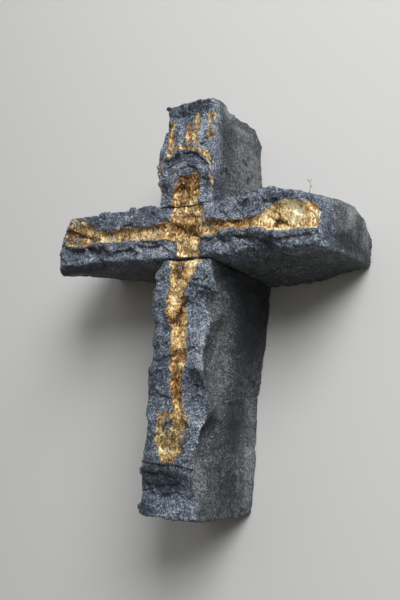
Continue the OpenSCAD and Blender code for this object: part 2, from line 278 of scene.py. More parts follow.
def make_world():
    world = bpy.data.worlds.new("open_sky")
    world.use_nodes = True
    bpy.context.scene.world = world
    tree = world.node_tree
    tree.nodes.clear()
    aim = add(tree, "ShaderNodeTexCoord").outputs["Generated"]
    height = add(tree, "ShaderNodeSeparateXYZ", {0: aim}).outputs["Z"]
    sky = ramp(tree, calc(tree, "MULTIPLY_ADD", height, 0.5, 0.5), SKY_STOPS)
    light = add(tree, "ShaderNodeLightPath").outputs
    seen = calc(tree, "MAXIMUM", light["Is Camera Ray"], light["Is Transmission Ray"])
    glossy = calc(tree, "MULTIPLY", light["Is Glossy Ray"], BACKDROP_IN_GLOSS)
    shown = calc(tree, "MAXIMUM", seen, glossy)
    colour = mix_colour(tree, shown, sky, (BACKDROP_GREY,) * 3)
    shade = add(tree, "ShaderNodeBackground", {"Color": colour, "Strength": 1.0})
    add(tree, "ShaderNodeOutputWorld", {"Surface": shade.outputs[0]})


make_world()
make_lamp("key", KEY_PLACE, KEY_SIZE, KEY_WATTS)
make_lamp("behind", BACK_PLACE, BACK_SIZE, BACK_WATTS)
bpy.context.scene.view_settings.view_transform = "Standard"

# %% [markdown]
# Each stone starts as a copy of its CAD solid. Its triangles are uneven, so a voxel
# remesh lays an even skin of small faces over it, a few rounds of smoothing take out
# the old facets, and the faces that look outwards from the wall are split once more.
# That puts the finest mesh on the rock face, where the detail is.

# %% Stone shells
VOXELS = {"head_block": 2.1 * MM, "crossbar_block": 2.35 * MM, "shaft_block": 2.3 * MM}
MERGE = 0.02 * MM
SMOOTH_ROUNDS = 3
SMOOTH_FACTOR = 0.5
FRONT_FACING = 0.25


def link(name, mesh):
    made = bpy.data.objects.new(name, mesh)
    bpy.context.scene.collection.objects.link(made)
    return made


def baked(piece):
    """The piece's evaluated mesh, which takes the place of its modifiers."""
    graph = bpy.context.evaluated_depsgraph_get()
    mesh = bpy.data.meshes.new_from_object(piece.evaluated_get(graph), depsgraph=graph)
    piece.modifiers.clear()
    piece.data = mesh
    return mesh


def split_front(mesh):
    work = bmesh.new()
    work.from_mesh(mesh)
    work.normal_update()
    edges = {e for f in work.faces if -f.normal.y > FRONT_FACING for e in f.edges}
    bmesh.ops.subdivide_edges(work, edges=list(edges), cuts=1, use_grid_fill=True)
    bmesh.ops.triangulate(work, faces=[f for f in work.faces if len(f.verts) > 4])
    work.to_mesh(mesh)
    work.free()


def stone_shell(node):
    name = node.replace("block", "stone")
    piece = link(name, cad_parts[node].data.copy())
    piece.data.materials.clear()
    work = bmesh.new()
    work.from_mesh(piece.data)
    bmesh.ops.remove_doubles(work, verts=work.verts, dist=MERGE)
    work.to_mesh(piece.data)
    work.free()
    skin = piece.modifiers.new("skin", "REMESH")
    skin.mode = "VOXEL"
    skin.voxel_size = VOXELS[node]
    smooth = piece.modifiers.new("smooth", "SMOOTH")
    smooth.factor = SMOOTH_FACTOR
    smooth.iterations = SMOOTH_ROUNDS
    split_front(baked(piece))
    print(name, "shell:", len(piece.data.polygons), "faces")
    return piece


stones = {node: stone_shell(node) for node in VOXELS}

# %% [markdown]
# A mason leaves three kinds of larger marks. A ledge drops back along a line and
# recovers over its reach, a groove follows a line, and a scoop is a shallow bowl. They
# could be carved with Boolean cuts, but broken stone has no clean cut edges. So each
# kind is a small function of a place, in millimetres, that gives a depth to move it by.

# %% Kinds of marks
FAR = 1e9


def points_of(mesh):
    flat = np.empty(len(mesh.vertices) * 3, np.float32)
    mesh.vertices.foreach_get("co", flat)
    return flat.reshape(-1, 3).astype(float)


def normals_of(mesh):
    flat = np.empty(len(mesh.vertices) * 3, np.float32)
    mesh.vertices.foreach_get("normal", flat)
    return flat.reshape(-1, 3).astype(float)


def ease(t):
    t = np.clip(t, 0.0, 1.0)
    return t * t * (3.0 - 2.0 * t)


def facing(squarely, start, run):
    """Eases from 0 to 1 as the skin comes to look squarely one way."""
    return ease((squarely - start) / run)


def to_line(u, v, path):
    """Distance to a path in mm, and the side: positive to the left of its course."""
    best = np.full(u.shape, FAR)
    side = np.ones(u.shape)
    for (au, av), (bu, bv) in zip(path[:-1], path[1:]):
        du, dv = bu - au, bv - av
        t = np.clip(((u - au) * du + (v - av) * dv) / (du * du + dv * dv), 0.0, 1.0)
        eu, ev = u - au - t * du, v - av - t * dv
        near = np.hypot(eu, ev)
        closer = near < best
        best = np.where(closer, near, best)
        side = np.where(closer, np.sign(du * ev - dv * eu), side)
    return best, side


def ledge(path, drop, reach):
    """Sets back what lies right of the path's course, and lets it recover."""
    def depth(u, v):
        near, side = to_line(u, v, path)
        return np.where(side < 0, drop * np.clip(1.0 - near / reach, 0.0, 1.0), 0.0)
    return depth


def groove(path, width, cut):
    def depth(u, v):
        near, _ = to_line(u, v, path)
        return cut * np.clip(1.0 - (2.0 * near / width) ** 2, 0.0, 1.0)
    return depth


def scoop(u0, v0, half_u, half_v, cut):
    def depth(u, v):
        r = ((u - u0) / half_u) ** 2 + ((v - v0) / half_v) ** 2
        return cut * np.clip(1.0 - r, 0.0, 1.0)
    return depth


sample = groove([(0, 0), (10, 0)], 6, 1.0)(np.array([5.0, 5.0]), np.array([0.0, 2.0]))
print("a groove 6 mm wide and 1 mm deep, at its middle and 2 mm aside:", sample.round(2))

# %% [markdown]
# The marks themselves are listed for each block. On the real cross the ledges run
# roughly along the arms and the scoops bite into the shaft's right edge. All the marks
# on a face add up to one depth for every point of the mesh. A negative depth stands
# proud. The gilded strokes and the arch on the head are shallow grooves.

# %% Marks that the mason cut
ARCH_LINE = [(-56, 101), (-50, 115), (-38, 123), (-22, 127), (-2, 125), (17, 120), (30, 110),
             (38, 97), (42, 77), (43, 56)]
ARCH_RIGHT = [(22, 117), (32, 108), (38, 95), (41, 77), (42, 58)]
LEFT_TRACE = [(-57, 98), (-57, 80), (-54, 58)]
STROKES = [
    (10.0, [(-42, 168), (-38, 150), (-39, 131)]),
    (10.0, [(-8, 160), (-6, 150), (-4, 136)]),
    (11.0, [(4, 172), (8, 160), (7, 146), (9, 134)]),
    (7.0, [(27, 173), (28, 158)]),
    (6.0, [(29, 152), (31, 138)]),
    (7.0, [(36, 171), (37, 156)]),
    (6.0, [(38, 148), (37, 138)]),
]
STROKE_CUT = 1.6
FRONT_MARKS = {
    "head_block": [
        ledge([(-44, 112), (-32, 117), (-4, 120), (12, 115), (24, 104)], 4.0, 14),
        ledge([(-46, 101), (-30, 107), (-14, 108), (0, 104)], 2.5, 12),
        ledge([(-16, 95), (-2, 98), (12, 94), (18, 84)], 3.5, 14),
        groove(ARCH_LINE, 6, 1.0),
        scoop(-44, 180, 13, 16, -4.0),
        scoop(30, 62, 12, 22, 1.5),
    ] + [groove(path, width, STROKE_CUT) for width, path in STROKES],
    "crossbar_block": [
        ledge([(-246, -6), (-228, -11), (-205, -11), (-182, -12), (-174, -20), (-168, -32)],
              5.5, 22),
        ledge([(-160, -18), (-135, -21), (-112, -20), (-92, -25)], 4.0, 16),
        ledge([(-84, -16), (-62, -20), (-44, -17), (-32, -25)], 4.0, 18),
        ledge([(-256, 25), (-240, 20), (-222, 14), (-205, 9), (-190, 6)], 5.0, 12),
        ledge([(-29, 16), (-14, 9), (-3, 1), (8, -1), (24, -10)], 4.5, 12),
        ledge([(-15, 33), (0, 22), (22, 20)], 2.0, 10),
        ledge([(47, 46), (48, 30), (50, 18), (62, 11), (80, 9)], -4.5, 26),
        ledge([(84, 33), (92, 26), (104, 23), (116, 27)][::-1], 3.0, 12),
        ledge([(128, 40), (140, 30), (152, 24), (166, 25)][::-1], 2.5, 12),
        ledge([(144, 6), (152, 1), (160, 2), (168, -3)], 4.0, 9),
        ledge([(30, -12), (60, -11), (90, -8), (120, -8), (140, -13), (172, -17), (214, -13)],
              -2.0, 8),
        ledge([(34, -15), (60, -16), (90, -15), (118, -17)], 2.5, 14),
        ledge([(138, -22), (152, -25), (176, -23), (200, -22)], 3.0, 14),
        ledge([(-150, 36), (-120, 30), (-92, 29), (-72, 34)][::-1], 3.0, 14),
        ledge([(-210, 37), (-190, 30), (-166, 31)][::-1], 2.5, 12),
    ],
    "shaft_block": [
        groove([(4, -96), (-4, -110), (-14, -128)], 15, 5.0),
        scoop(-24, -128, 9, 9, 3.0),
        scoop(-6, -55, 5, 14, 2.5),
        ledge([(14, -76), (24, -80), (40, -82), (52, -92)], 2.0, 26),
        scoop(32, -98, 20, 20, 6.0),
        ledge([(16, -196), (30, -200), (48, -212)], 1.5, 28),
        scoop(33, -224, 17, 27, 6.0),
        ledge([(-46, -128), (-30, -136), (-14, -146)], 1.2, 20),
        ledge([(-50, -182), (-36, -188), (-16, -184)], 1.5, 24),
        ledge([(-44, -330), (-12, -331), (16, -330), (44, -334)], 3.0, 10),
        ledge([(-44, -342), (-30, -346), (-14, -341), (8, -347)], 2.5, 8),
        ledge([(-44, -354), (-20, -362), (10, -356)], 3.0, 14),
        ledge([(-40, -369), (-24, -365), (-6, -372), (10, -368)], 2.5, 10),
        scoop(-32, -250, 12, 26, 2.0),
    ],
}
SIDE_MARKS = {
    "shaft_block": [
        scoop(-106, -180, 38, 84, 6.0),
        scoop(-130, -276, 20, 22, 6.0),
        scoop(-136, -342, 24, 44, 6.0),
        scoop(-40, -300, 24, 60, 3.0),
    ],
}
MARK_FACING = (0.2, 0.5)
SIDE_FACING = (0.5, 0.3)


def cut_marks(node, piece):
    mesh = piece.data
    points, normals = points_of(mesh), normals_of(mesh)
    front = facing(-normals[:, 1], *MARK_FACING)
    side = facing(normals[:, 0], *SIDE_FACING)
    x, y, z = (points / MM).T
    into = sum(mark(x, z) for mark in FRONT_MARKS[node])
    points[:, 1] += into * front * MM
    for mark in SIDE_MARKS.get(node, []):
        points[:, 0] -= mark(y, z) * side * MM
    mesh.vertices.foreach_set("co", points.astype(np.float32).ravel())
    mesh.update()
    print(piece.name, "marks up to", round(float(np.max(into)), 1), "mm deep")


for node, piece in stones.items():
    cut_marks(node, piece)

# %% [markdown]
# The gold fills the channel, runs a little over its rim in places, and breaks off in
# others. An image of it would have to be painted, so its edges are given as two sides at
# a few places along each arm, and that gives how far inside the gilding a point lies.
# The shader breaks the edge up later.

# %% Where the gold lies
LEAF_SPREAD = 14.0
LEAF_SINK = 2.0
LEAF_SINK_RUN = 2.5
OUTSIDE = -99.0
# Rows of a height, the left side and the right side, in mm
UPRIGHT_RUNS = {
    "head_block": [
        [(38, -28, 21), (60, -27, 21), (76, -23, 20), (84, -17, 17)],
    ],
    "crossbar_block": [
        [(-38, -15, 24), (-24, -15, 25), (-12, -19, 27), (0, -24, 29), (10, -26, 38),
         (20, -26, 40), (30, -27, 30), (39, -27, 22)],
    ],
    "shaft_block": [
        [(-328, -11, 13), (-322, -14, 16), (-308, -20, 21), (-297, -23, 27), (-282, -24, 31),
         (-262, -23, 26), (-258, 2, 21), (-248, 0, 18), (-218, -5, 15), (-198, -8, 15),
         (-168, -6, 19), (-148, -10, 18), (-138, -13, 16), (-131, -21, 14), (-120, -23, 12),
         (-98, -22, 8), (-88, -20, 8), (-78, -18, 14), (-58, -22, 25), (-39, -26, 30)],
    ],
}
# Rows of a place across, the lower side and the upper side, in mm
LEVEL_RUNS = {
    "crossbar_block": [
        [(-256, 6, 34), (-248, -3, 38), (-240, -7, 39), (-210, -7, 38), (-202, -6, 28),
         (-194, -5, 22), (-182, -4, 20), (-172, -5, 14), (-150, -6, 12), (-120, -6, 14),
         (-100, -6, 12), (-60, -10, 12), (-40, -10, 16), (-20, -12, 20)],
        [(20, -12, 20), (40, -10, 9), (60, -8, 10), (80, -6, 8), (100, -4, 7), (120, -6, 9),
         (130, -8, 11), (138, -10, 18), (150, -13, 23), (163, -15, 27), (190, -12, 22),
         (200, -13, 21), (212, -14, 16), (216, -13, 13)],
    ],
}
# Widths and paths of the gilded lines on the head
HEAD_LINES = [(5.5, ARCH_LINE), (7.5, ARCH_RIGHT), (6.0, LEFT_TRACE), *STROKES]


def run_depth(along, across, rows):
    """How far inside a run of gilding a point lies, in mm."""
    places, low, high = (np.array(column, float) for column in zip(*rows))
    from_low = across - np.interp(along, places, low)
    from_high = np.interp(along, places, high) - across
    from_ends = np.minimum(along - places[0], places[-1] - along)
    return np.minimum(np.minimum(from_low, from_high), from_ends)


def channel_depth(node, x, z):
    """How far inside the gilded channel a point lies, in mm."""
    inside = np.full(x.shape, OUTSIDE)
    for rows in UPRIGHT_RUNS.get(node, []):
        inside = np.maximum(inside, run_depth(z, x, rows))
    for rows in LEVEL_RUNS.get(node, []):
        inside = np.maximum(inside, run_depth(x, z, rows))
    return inside


runs = [*UPRIGHT_RUNS.values(), *LEVEL_RUNS.values()]
print("runs of gilding:", sum(len(found) for found in runs), "and lines:", len(HEAD_LINES))

# %% [markdown]
# Old leaf isn't one gold. It is pale where it is rubbed bright, brown where the size below
# shows, gone in places, and its cast runs from a cool olive to a warm orange. Three maps
# hold this: the tone, the wear and the warmth. The tone also holds painted shade and
# painted highlight. Each is a sum of soft spots, which is easier to place and to change
# than a painted image.

# %% How the leaf has aged
TONE = 0.47
WEAR = 0.10
SPOT_FALL = 1.2
# Spots are across, up, half width and half height in mm, and an amount
# Some tone spots paint shade: the dark crease across the crossing, the pit in the right arm's gold
# and the shaft's channel where it jogs; thin pale ones along the right arm's lower lip paint
# highlight
TONE_SPOTS = {
    "head_block": [
        (-4, 62, 30, 30, -0.22), (-4, 57, 26, 3, 0.3), (6, 43, 18, 8, 0.22),
        (-10, 78, 18, 6, -0.12), (-35, 160, 8, 9, 0.15), (-34, 148, 8, 6, -0.2),
        (-36, 138, 8, 6, 0.05), (0, 123, 30, 5, 0.2),
    ],
    "crossbar_block": [
        (-232, 33, 26, 8, 0.25), (-212, 26, 12, 8, 0.15), (-254, 21, 8, 5, -0.5),
        (-240, 17, 10, 5, -0.45), (-224, 12, 12, 4, -0.3), (-232, 2, 30, 7, -0.2),
        (-184, 12, 12, 8, 0.25), (-166, 2, 18, 9, 0.42), (-142, 1, 12, 9, 0.2),
        (-122, 4, 12, 11, -0.26), (-80, 1, 40, 9, 0.25), (-150, 10, 20, 3, -0.1),
        (-60, 10, 22, 5, -0.15), (0, 28, 28, 12, 0.1), (-2, 4, 24, 7, -0.42),
        (16, -6, 16, 6, -0.3), (4, -24, 20, 13, 0.22), (38, 12, 14, 14, 0.12),
        (44, -2, 16, 8, 0.2), (84, 5, 40, 4, -0.3), (84, -4, 50, 3, -0.1), (100, -6, 30, 2, 0.3),
        (176, 4, 62, 36, 0.29), (150, 17, 9, 9, -0.3), (157, -2, 10, 6, -0.75),
        (176, -9, 30, 3, -0.2), (150, -13, 22, 4, 0.3), (203, 16, 10, 9, -0.12),
        (178, 22, 44, 7, 0.2), (212, -2, 7, 18, 0.2), (132, 8, 14, 5, 0.1),
        (190, -4, 12, 6, -0.12), (-186, -2, 14, 8, -0.15),
    ],
    "shaft_block": [
        (16, -50, 16, 16, 0.28), (-6, -55, 7, 16, -0.5), (-16, -55, 8, 16, -0.05),
        (2, -76, 14, 14, 0.08), (-14, -104, 7, 20, 0.3), (6, -103, 5, 8, -0.5),
        (0, -113, 5, 8, -0.6), (-6, -123, 6, 8, -0.6), (-13, -132, 8, 5, -0.5),
        (9, -128, 6, 9, 0.1), (6, -152, 13, 13, 0.2), (4, -180, 12, 9, -0.16),
        (4, -192, 12, 6, 0.05), (3, -212, 12, 13, -0.14), (5, -236, 12, 8, -0.25),
        (8, -257, 12, 11, 0.16), (0, -200, 60, 80, -0.05), (-16, -286, 12, 24, 0.1),
        (-4, -300, 30, 36, -0.08), (-4, -316, 16, 10, 0.2),
    ],
}
WEAR_SPOTS = {
    "head_block": [
        (-8, 160, 26, 26, 0.1), (33, 156, 14, 26, 0.28), (38, 88, 12, 32, 0.33),
        (-55, 80, 8, 26, 0.3), (-30, 124, 14, 8, 0.1),
    ],
    "crossbar_block": [
        (-232, 32, 30, 9, 0.28), (-236, 4, 26, 10, 0.22), (38, 16, 16, 20, 0.28),
        (-6, 28, 20, 16, 0.12), (-140, 4, 20, 14, 0.15), (-153, 6, 5, 12, 0.3),
        (-190, -2, 20, 10, 0.2), (-60, 2, 30, 14, 0.1),
    ],
    "shaft_block": [
        (-6, -274, 7, 11, 0.45), (26, -284, 10, 26, 0.35), (-20, -278, 10, 24, 0.08),
        (0, -294, 26, 18, 0.10), (-6, -50, 3, 12, 0.35), (6, -180, 16, 30, 0.1),
    ],
}
WARM_SPOTS = {
    "head_block": [(-4, 66, 30, 12, 0.3), (0, 123, 40, 6, -0.3), (34, 156, 16, 30, -0.8)],
    "crossbar_block": [
        (-234, 2, 30, 9, -0.9), (-232, 33, 30, 9, -0.7), (-142, 6, 12, 12, 0.9),
        (0, 8, 30, 8, 0.5), (176, 8, 50, 30, -0.3), (203, 17, 10, 9, 1.1), (157, -2, 14, 10, 0.6),
        (80, 2, 60, 10, 0.3),
    ],
    "shaft_block": [
        (-20, -56, 10, 20, -0.9), (8, -66, 12, 16, 0.4), (-4, -120, 14, 14, 0.5),
        (4, -182, 14, 10, 0.8), (3, -214, 14, 14, 1.0), (8, -257, 12, 12, 0.4),
        (-2, -294, 34, 30, -0.9),
    ],
}


def spots(u, v, rows, firm=1.0):
    """Sums soft round spots. A firm above 1 gives them a flat middle and a clear edge."""
    total = np.zeros(u.shape)
    for u0, v0, half_u, half_v, amount in rows:
        r = ((u - u0) / half_u) ** 2 + ((v - v0) / half_v) ** 2
        total += amount * np.exp(-SPOT_FALL * r ** firm)
    return total


for label, table in (("tone", TONE_SPOTS), ("wear", WEAR_SPOTS), ("warmth", WARM_SPOTS)):
    print("spots of", label + ":", sum(len(rows) for rows in table.values()))

# %% [markdown]
# The granite is paler where it is bruised or where rain runs, and has darker and paler
# patches of its own. Painted shade is added to it: darker in its hollows, its scoops and
# its toe recess, under its ledges, along the left arm's down-turned lower edge, and high
# on the shaft's side, where the right arm shades it. The freshly broken rock face is
# bluer than the sides, and it wraps round the front's edges for a way, farther on the
# head and the arms than on the shaft. The same kind of spots, with firmer edges, holds
# the lighter and darker places of the front, of the right-hand sides and of the underside.

# %% Lighter and darker stone, and painted shade
SHADE_FIRM = 2.0
SIDE_CONTRAST = 2.3
# Painted shade: every face that looks down is darkened by this much
PAINTED_UNDER_SHADE = 0.03
# How far behind the foremost point the broken relief and the fresh colour reach, in mm
ROCK_REACH = {"head_block": 70, "crossbar_block": 90, "shaft_block": 28}
ROCK_FADE = 8.0
FRESH_REACH = {"head_block": 55, "crossbar_block": 80, "shaft_block": 24}
# Besides the stone's own patches, the front spots paint shade into the shaft's scoops, its pit and
# its toe recess, under the head's ledges and along the left arm's down-turned lower edge, and make
# two joint edges paler
FRONT_SHADES = {
    "head_block": [
        (-10, 188, 50, 12, -0.16), (-16, 100, 24, 10, 0.10), (6, 98, 14, 6, -0.2),
        (-6, 113, 26, 5, -0.2), (26, 140, 12, 40, 0.06), (-6, 88, 24, 6, -0.10),
        (-10, 145, 46, 26, 0.04), (36, 60, 12, 26, -0.05), (-44, 40, 14, 3, 0.3),
        (20, 199, 20, 4, 0.2),
    ],
    "crossbar_block": [
        (38, 26, 11, 16, 0.12), (150, 36, 50, 8, -0.10), (95, 28, 12, 8, -0.16),
        (-210, -14, 40, 6, -0.14), (-228, -46, 48, 9, -0.6), (-180, -42, 30, 9, -0.5),
        (-60, -24, 60, 8, 0.05), (70, -22, 40, 7, 0.05), (-140, 30, 110, 14, -0.06),
        (-235, 0, 12, 20, -0.06), (-130, -24, 110, 12, 0.05), (26, 14, 8, 14, 0.06),
        (205, 22, 10, 20, -0.05),
    ],
    "shaft_block": [
        (34, -98, 20, 20, -0.16), (34, -224, 16, 28, -0.16), (40, -176, 10, 30, 0.16),
        (22, -150, 14, 24, 0.06), (-18, -134, 10, 12, -0.24), (-34, -90, 14, 30, 0.05),
        (-30, -212, 16, 30, -0.06), (-14, -352, 46, 19, -0.42), (-38, -392, 24, 12, -0.2),
        (-32, -190, 24, 150, -0.09), (-38, -270, 12, 30, 0.04), (34, -60, 16, 16, 0.06),
        (-10, -56, 4, 10, -0.1), (0, -42, 46, 2.5, 0.25),
    ],
}
# Spots on the right-hand sides, by depth and height; the dark ones high on the shaft are
# the right arm's painted shadow, and the crossbar's end is made darker towards the bottom
SIDE_SHADES = {
    "head_block": [
        (-110, 130, 30, 40, -0.05), (-40, 110, 40, 60, 0.05), (-100, 190, 20, 8, 0.18),
        (-60, 176, 30, 6, 0.12), (-130, 70, 20, 30, -0.08),
    ],
    "crossbar_block": [
        (-70, 19, 14, 9, 0.16), (-74, 30, 30, 7, 0.08), (-19, 3, 6, 24, 0.16),
        (-34, 8, 6, 20, 0.08), (-84, -20, 26, 13, -0.18), (-40, -28, 34, 10, -0.14),
        (-52, 0, 10, 22, -0.08), (-120, -14, 18, 18, -0.06), (-90, 8, 26, 10, 0.06),
    ],
    "shaft_block": [
        (-104, -180, 30, 70, 0.06), (-40, -104, 44, 84, -0.24), (-126, -274, 18, 22, -0.16),
        (-136, -342, 22, 40, 0.16), (-14, -320, 14, 80, 0.12), (-60, -260, 26, 60, -0.10),
        (-70, -360, 26, 30, -0.08), (-150, -178, 8, 60, 0.10), (-90, -60, 40, 30, -0.14),
        (-80, -240, 90, 180, -0.02),
    ],
}
# Painted shade on the underside, as spots by place across and depth
PAINTED_UNDER_SHADES = {"crossbar_block": [(-150, -75, 130, 90, -0.14)]}


def shade_map(node, points, normals, rock):
    """How much lighter or darker than plain granite each point is painted, painted shade included.
    """
    x, y, z = points.T
    shade = spots(x, z, FRONT_SHADES[node], SHADE_FIRM) * rock
    side = spots(y, z, SIDE_SHADES[node], SHADE_FIRM)
    shade += np.where(normals[:, 0] > 0.0, side * SIDE_CONTRAST * (1.0 - rock), 0.0)
    # Undersides get painted shade, darkest under the left arm
    painted_under_shade = spots(x, y, PAINTED_UNDER_SHADES.get(node, []), SHADE_FIRM) - PAINTED_UNDER_SHADE
    return shade + painted_under_shade * ease(-normals[:, 2])


for label, table in (("front", FRONT_SHADES), ("sides", SIDE_SHADES)):
    print("shades on the", label + ":", sum(len(rows) for rows in table.values()))

# %% [markdown]
# What the finish has to know about a point of stone is now stored on the mesh, as one
# attribute for each map: whether it is rock face, how fresh it is, how much lighter or
# darker it is painted (painted shade included), how far inside the gilding it lies, and
# the leaf's tone, wear and warmth there. An attribute stays with its point when the
# relief moves it. The channel also sinks a little more.

# %% Store the maps on the stones
LEAF_FACING = (0.05, 0.3)
ROCK_FACING = (0.25, 0.35)


def store(mesh, name, values):
    attribute = mesh.attributes.new(name, "FLOAT", "POINT")
    attribute.data.foreach_set("value", np.asarray(values, np.float32))


def map_finish(node, piece):
    mesh = piece.data
    points, normals = points_of(mesh) / MM, normals_of(mesh)
    x, y, z = points.T
    front = facing(-normals[:, 1], *LEAF_FACING)
    inside = channel_depth(node, x, z)
    sunk = points.copy()
    sunk[:, 1] += LEAF_SINK * ease(inside / LEAF_SINK_RUN) * front
    mesh.vertices.foreach_set("co", (sunk * MM).astype(np.float32).ravel())
    mesh.update()
    if node == "head_block":
        for width, path in HEAD_LINES:
            inside = np.maximum(inside, width / 2 - to_line(x, z, path)[0])

    foremost = cad_low.y / MM
    rock = facing(-normals[:, 1], *ROCK_FACING)
    rock *= ease((foremost + ROCK_REACH[node] - y) / ROCK_FADE)
    near_edge = ease(1.0 - (y - foremost) / FRESH_REACH[node])
    store(mesh, "shade", shade_map(node, points, normals, rock))
    store(mesh, "rock_face", rock)
    store(mesh, "fresh", np.maximum(rock, near_edge))
    store(mesh, "leaf_edge", np.clip(0.5 + inside / LEAF_SPREAD, 0.0, 1.0) * front)
    store(mesh, "leaf_tone", np.clip(TONE + spots(x, z, TONE_SPOTS[node]), 0.0, 1.0))
    store(mesh, "leaf_wear", np.clip(WEAR + spots(x, z, WEAR_SPOTS[node]), 0.0, 1.0))
    store(mesh, "leaf_warm", np.clip(spots(x, z, WARM_SPOTS[node]), -1.0, 1.0))
    share = float(np.mean((inside > 0) * (front > 0.5)))
    print(piece.name, "gilded share of the skin:", round(share, 3))


for node, piece in stones.items():
    map_finish(node, piece)

# %% [markdown]
# Split granite isn't smooth between the mason's marks: it breaks in small planes that
# tilt every way, and its crystals stand proud. The leaf over it is crumpled in sharp
# little folds. Such surfaces follow a rule, so a Geometry Nodes tree makes them. Each
# Voronoi cell gives one broken plane, at two sizes, and noises give the crystals and the
# folds. Joint faces and the back stay flat, and the dressed sides get only a share.

# %% The broken surface
RELIEF = {
    "Chip size": 34 * MM,
    "Chip depth": 5.0 * MM,
    "Flake size": 12 * MM,
    "Flake depth": 1.2 * MM,
    "Crystal size": 2.6 * MM,
    "Crystal depth": 0.45 * MM,
    "Crumple size": 5.5 * MM,
    "Crumple depth": 2.6 * MM,
    "Side share": 0.52,
    "Swell": 0.7 * MM,
    "Seed": 0.0,
}
SEED_STEP = (0.37, 0.59, 0.83)
PLANE_BEND = 0.8
CELL_SOFTNESS = 0.16
OWN_STEP = 0.2
SIDE_CRYSTALS = 0.5
FOLD_LEAN = (1.0, 1.0, 0.6)
FOLD_REST = 0.2
FOLD_SLOPE = -2.0
CRUMPLE_EDGE = (0.45, 0.65)
RIDGE_FLAKES = 0.3
RIDGE_CRYSTALS = 1.2
RIDGE_FOLDS = 2.0


def named(tree, name):
    return add(tree, "GeometryNodeInputNamedAttribute", {"Name": name}).outputs[0]


def broken_planes(tree, where, size):
    """Planes about size wide, each tilted its own way, with heights near -1 to 1."""
    unit = scaled(tree, where, calc(tree, "DIVIDE", 1.0, size))
    bent = bent_place(tree, unit, scale=1.4, detail=3.0, amount=PLANE_BEND)
    cell = cells(tree, bent, 1.0, "SMOOTH_F1")
    cell.inputs["Smoothness"].default_value = CELL_SOFTNESS
    lean = scaled(tree, vector(tree, "SUBTRACT", cell.outputs["Color"], HALF), 2.0)
    away = vector(tree, "SUBTRACT", bent, cell.outputs["Position"])
    tilt = vector(tree, "DOT_PRODUCT", lean, away)
    own_step = add(tree, "ShaderNodeSeparateXYZ", {0: lean}).outputs["Z"]
    return calc(tree, "MULTIPLY_ADD", own_step, OWN_STEP, tilt)


def crumpled_leaf(tree, where, size):
    """Sharp folds where the leaf lies, their crests at FOLD_REST, and 0 elsewhere."""
    drawn = vector(tree, "MULTIPLY", where, FOLD_LEAN)
    fold = noise(tree, drawn, calc(tree, "DIVIDE", 1.0, size), 2.0, 0.6).outputs[0]
    fold = calc(tree, "ABSOLUTE", calc(tree, "SUBTRACT", fold, 0.5))
    fold = calc(tree, "MULTIPLY_ADD", fold, FOLD_SLOPE, FOLD_REST)
    return calc(tree, "MULTIPLY", fold, rise(tree, named(tree, "leaf_edge"), *CRUMPLE_EDGE))


def ridge_map(tree, flakes, crystals, fold):
    """What stands proud: above one half on crests, below it in hollows; the shader paints highlight
    on the crests and shade in the hollows from it.
    """
    ridge = calc(tree, "MULTIPLY_ADD", flakes, RIDGE_FLAKES, 0.5)
    ridge = calc(tree, "MULTIPLY_ADD", crystals, RIDGE_CRYSTALS, ridge)
    return calc(tree, "MULTIPLY_ADD", fold, RIDGE_FOLDS, ridge)


def hewn_tree():
    tree = bpy.data.node_groups.new("hewn_relief", "GeometryNodeTree")
    face = tree.interface
    face.new_socket("Geometry", in_out="INPUT", socket_type="NodeSocketGeometry")
    for name, value in RELIEF.items():
        socket = face.new_socket(name, in_out="INPUT", socket_type="NodeSocketFloat")
        socket.default_value = value
    face.new_socket("Material", in_out="INPUT", socket_type="NodeSocketMaterial")
    face.new_socket("Geometry", in_out="OUTPUT", socket_type="NodeSocketGeometry")
    given = add(tree, "NodeGroupInput").outputs

    place = add(tree, "GeometryNodeInputPosition").outputs[0]
    where = vector(tree, "ADD", place, scaled(tree, SEED_STEP, given["Seed"]))
    rock = named(tree, "rock_face")
    chips = broken_planes(tree, where, given["Chip size"])
    flakes = broken_planes(tree, where, given["Flake size"])
    fine = calc(tree, "DIVIDE", 1.0, given["Crystal size"])
    crystals = calc(tree, "SUBTRACT", noise(tree, where, fine, 2.0, 0.6).outputs[0], 0.5)

    front_extra = calc(tree, "SUBTRACT", 1.0, given["Side share"])
    share = calc(tree, "MULTIPLY_ADD", rock, front_extra, given["Side share"])
    large = calc(tree, "MULTIPLY", flakes, given["Flake depth"])
    large = calc(tree, "MULTIPLY_ADD", chips, given["Chip depth"], large)
    small = calc(tree, "MULTIPLY", crystals, given["Crystal depth"])
    small_share = calc(tree, "MULTIPLY_ADD", rock, 1.0 - SIDE_CRYSTALS, SIDE_CRYSTALS)
    small = calc(tree, "MULTIPLY", small, small_share)
    height = calc(tree, "MULTIPLY_ADD", large, share, small)
    fold = crumpled_leaf(tree, where, given["Crumple size"])
    height = calc(tree, "MULTIPLY_ADD", fold, given["Crumple depth"], height)
    height = calc(tree, "ADD", height, given["Swell"])
    height = calc(tree, "MULTIPLY", height, named(tree, "free_face"))
    offset = scaled(tree, add(tree, "GeometryNodeInputNormal").outputs[0], height)

    moved = add(tree, "GeometryNodeSetPosition", {"Geometry": given["Geometry"], "Offset": offset})
    kept = add(tree, "GeometryNodeStoreNamedAttribute", {
        "Geometry": moved.outputs[0],
        "Name": "ridge",
        "Value": ridge_map(tree, flakes, crystals, fold),
    }, data_type="FLOAT", domain="POINT")
    real = add(tree, "GeometryNodeRealizeInstances", {"Geometry": kept.outputs[0]})
    dressed = add(tree, "GeometryNodeSetMaterial", {
        "Geometry": real.outputs[0], "Material": given["Material"]})
    add(tree, "NodeGroupOutput", {"Geometry": dressed.outputs[0]})
    return tree


hewn = hewn_tree()
print("relief inputs:", [i.name for i in hewn.interface.items_tree if i.in_out == "INPUT"])

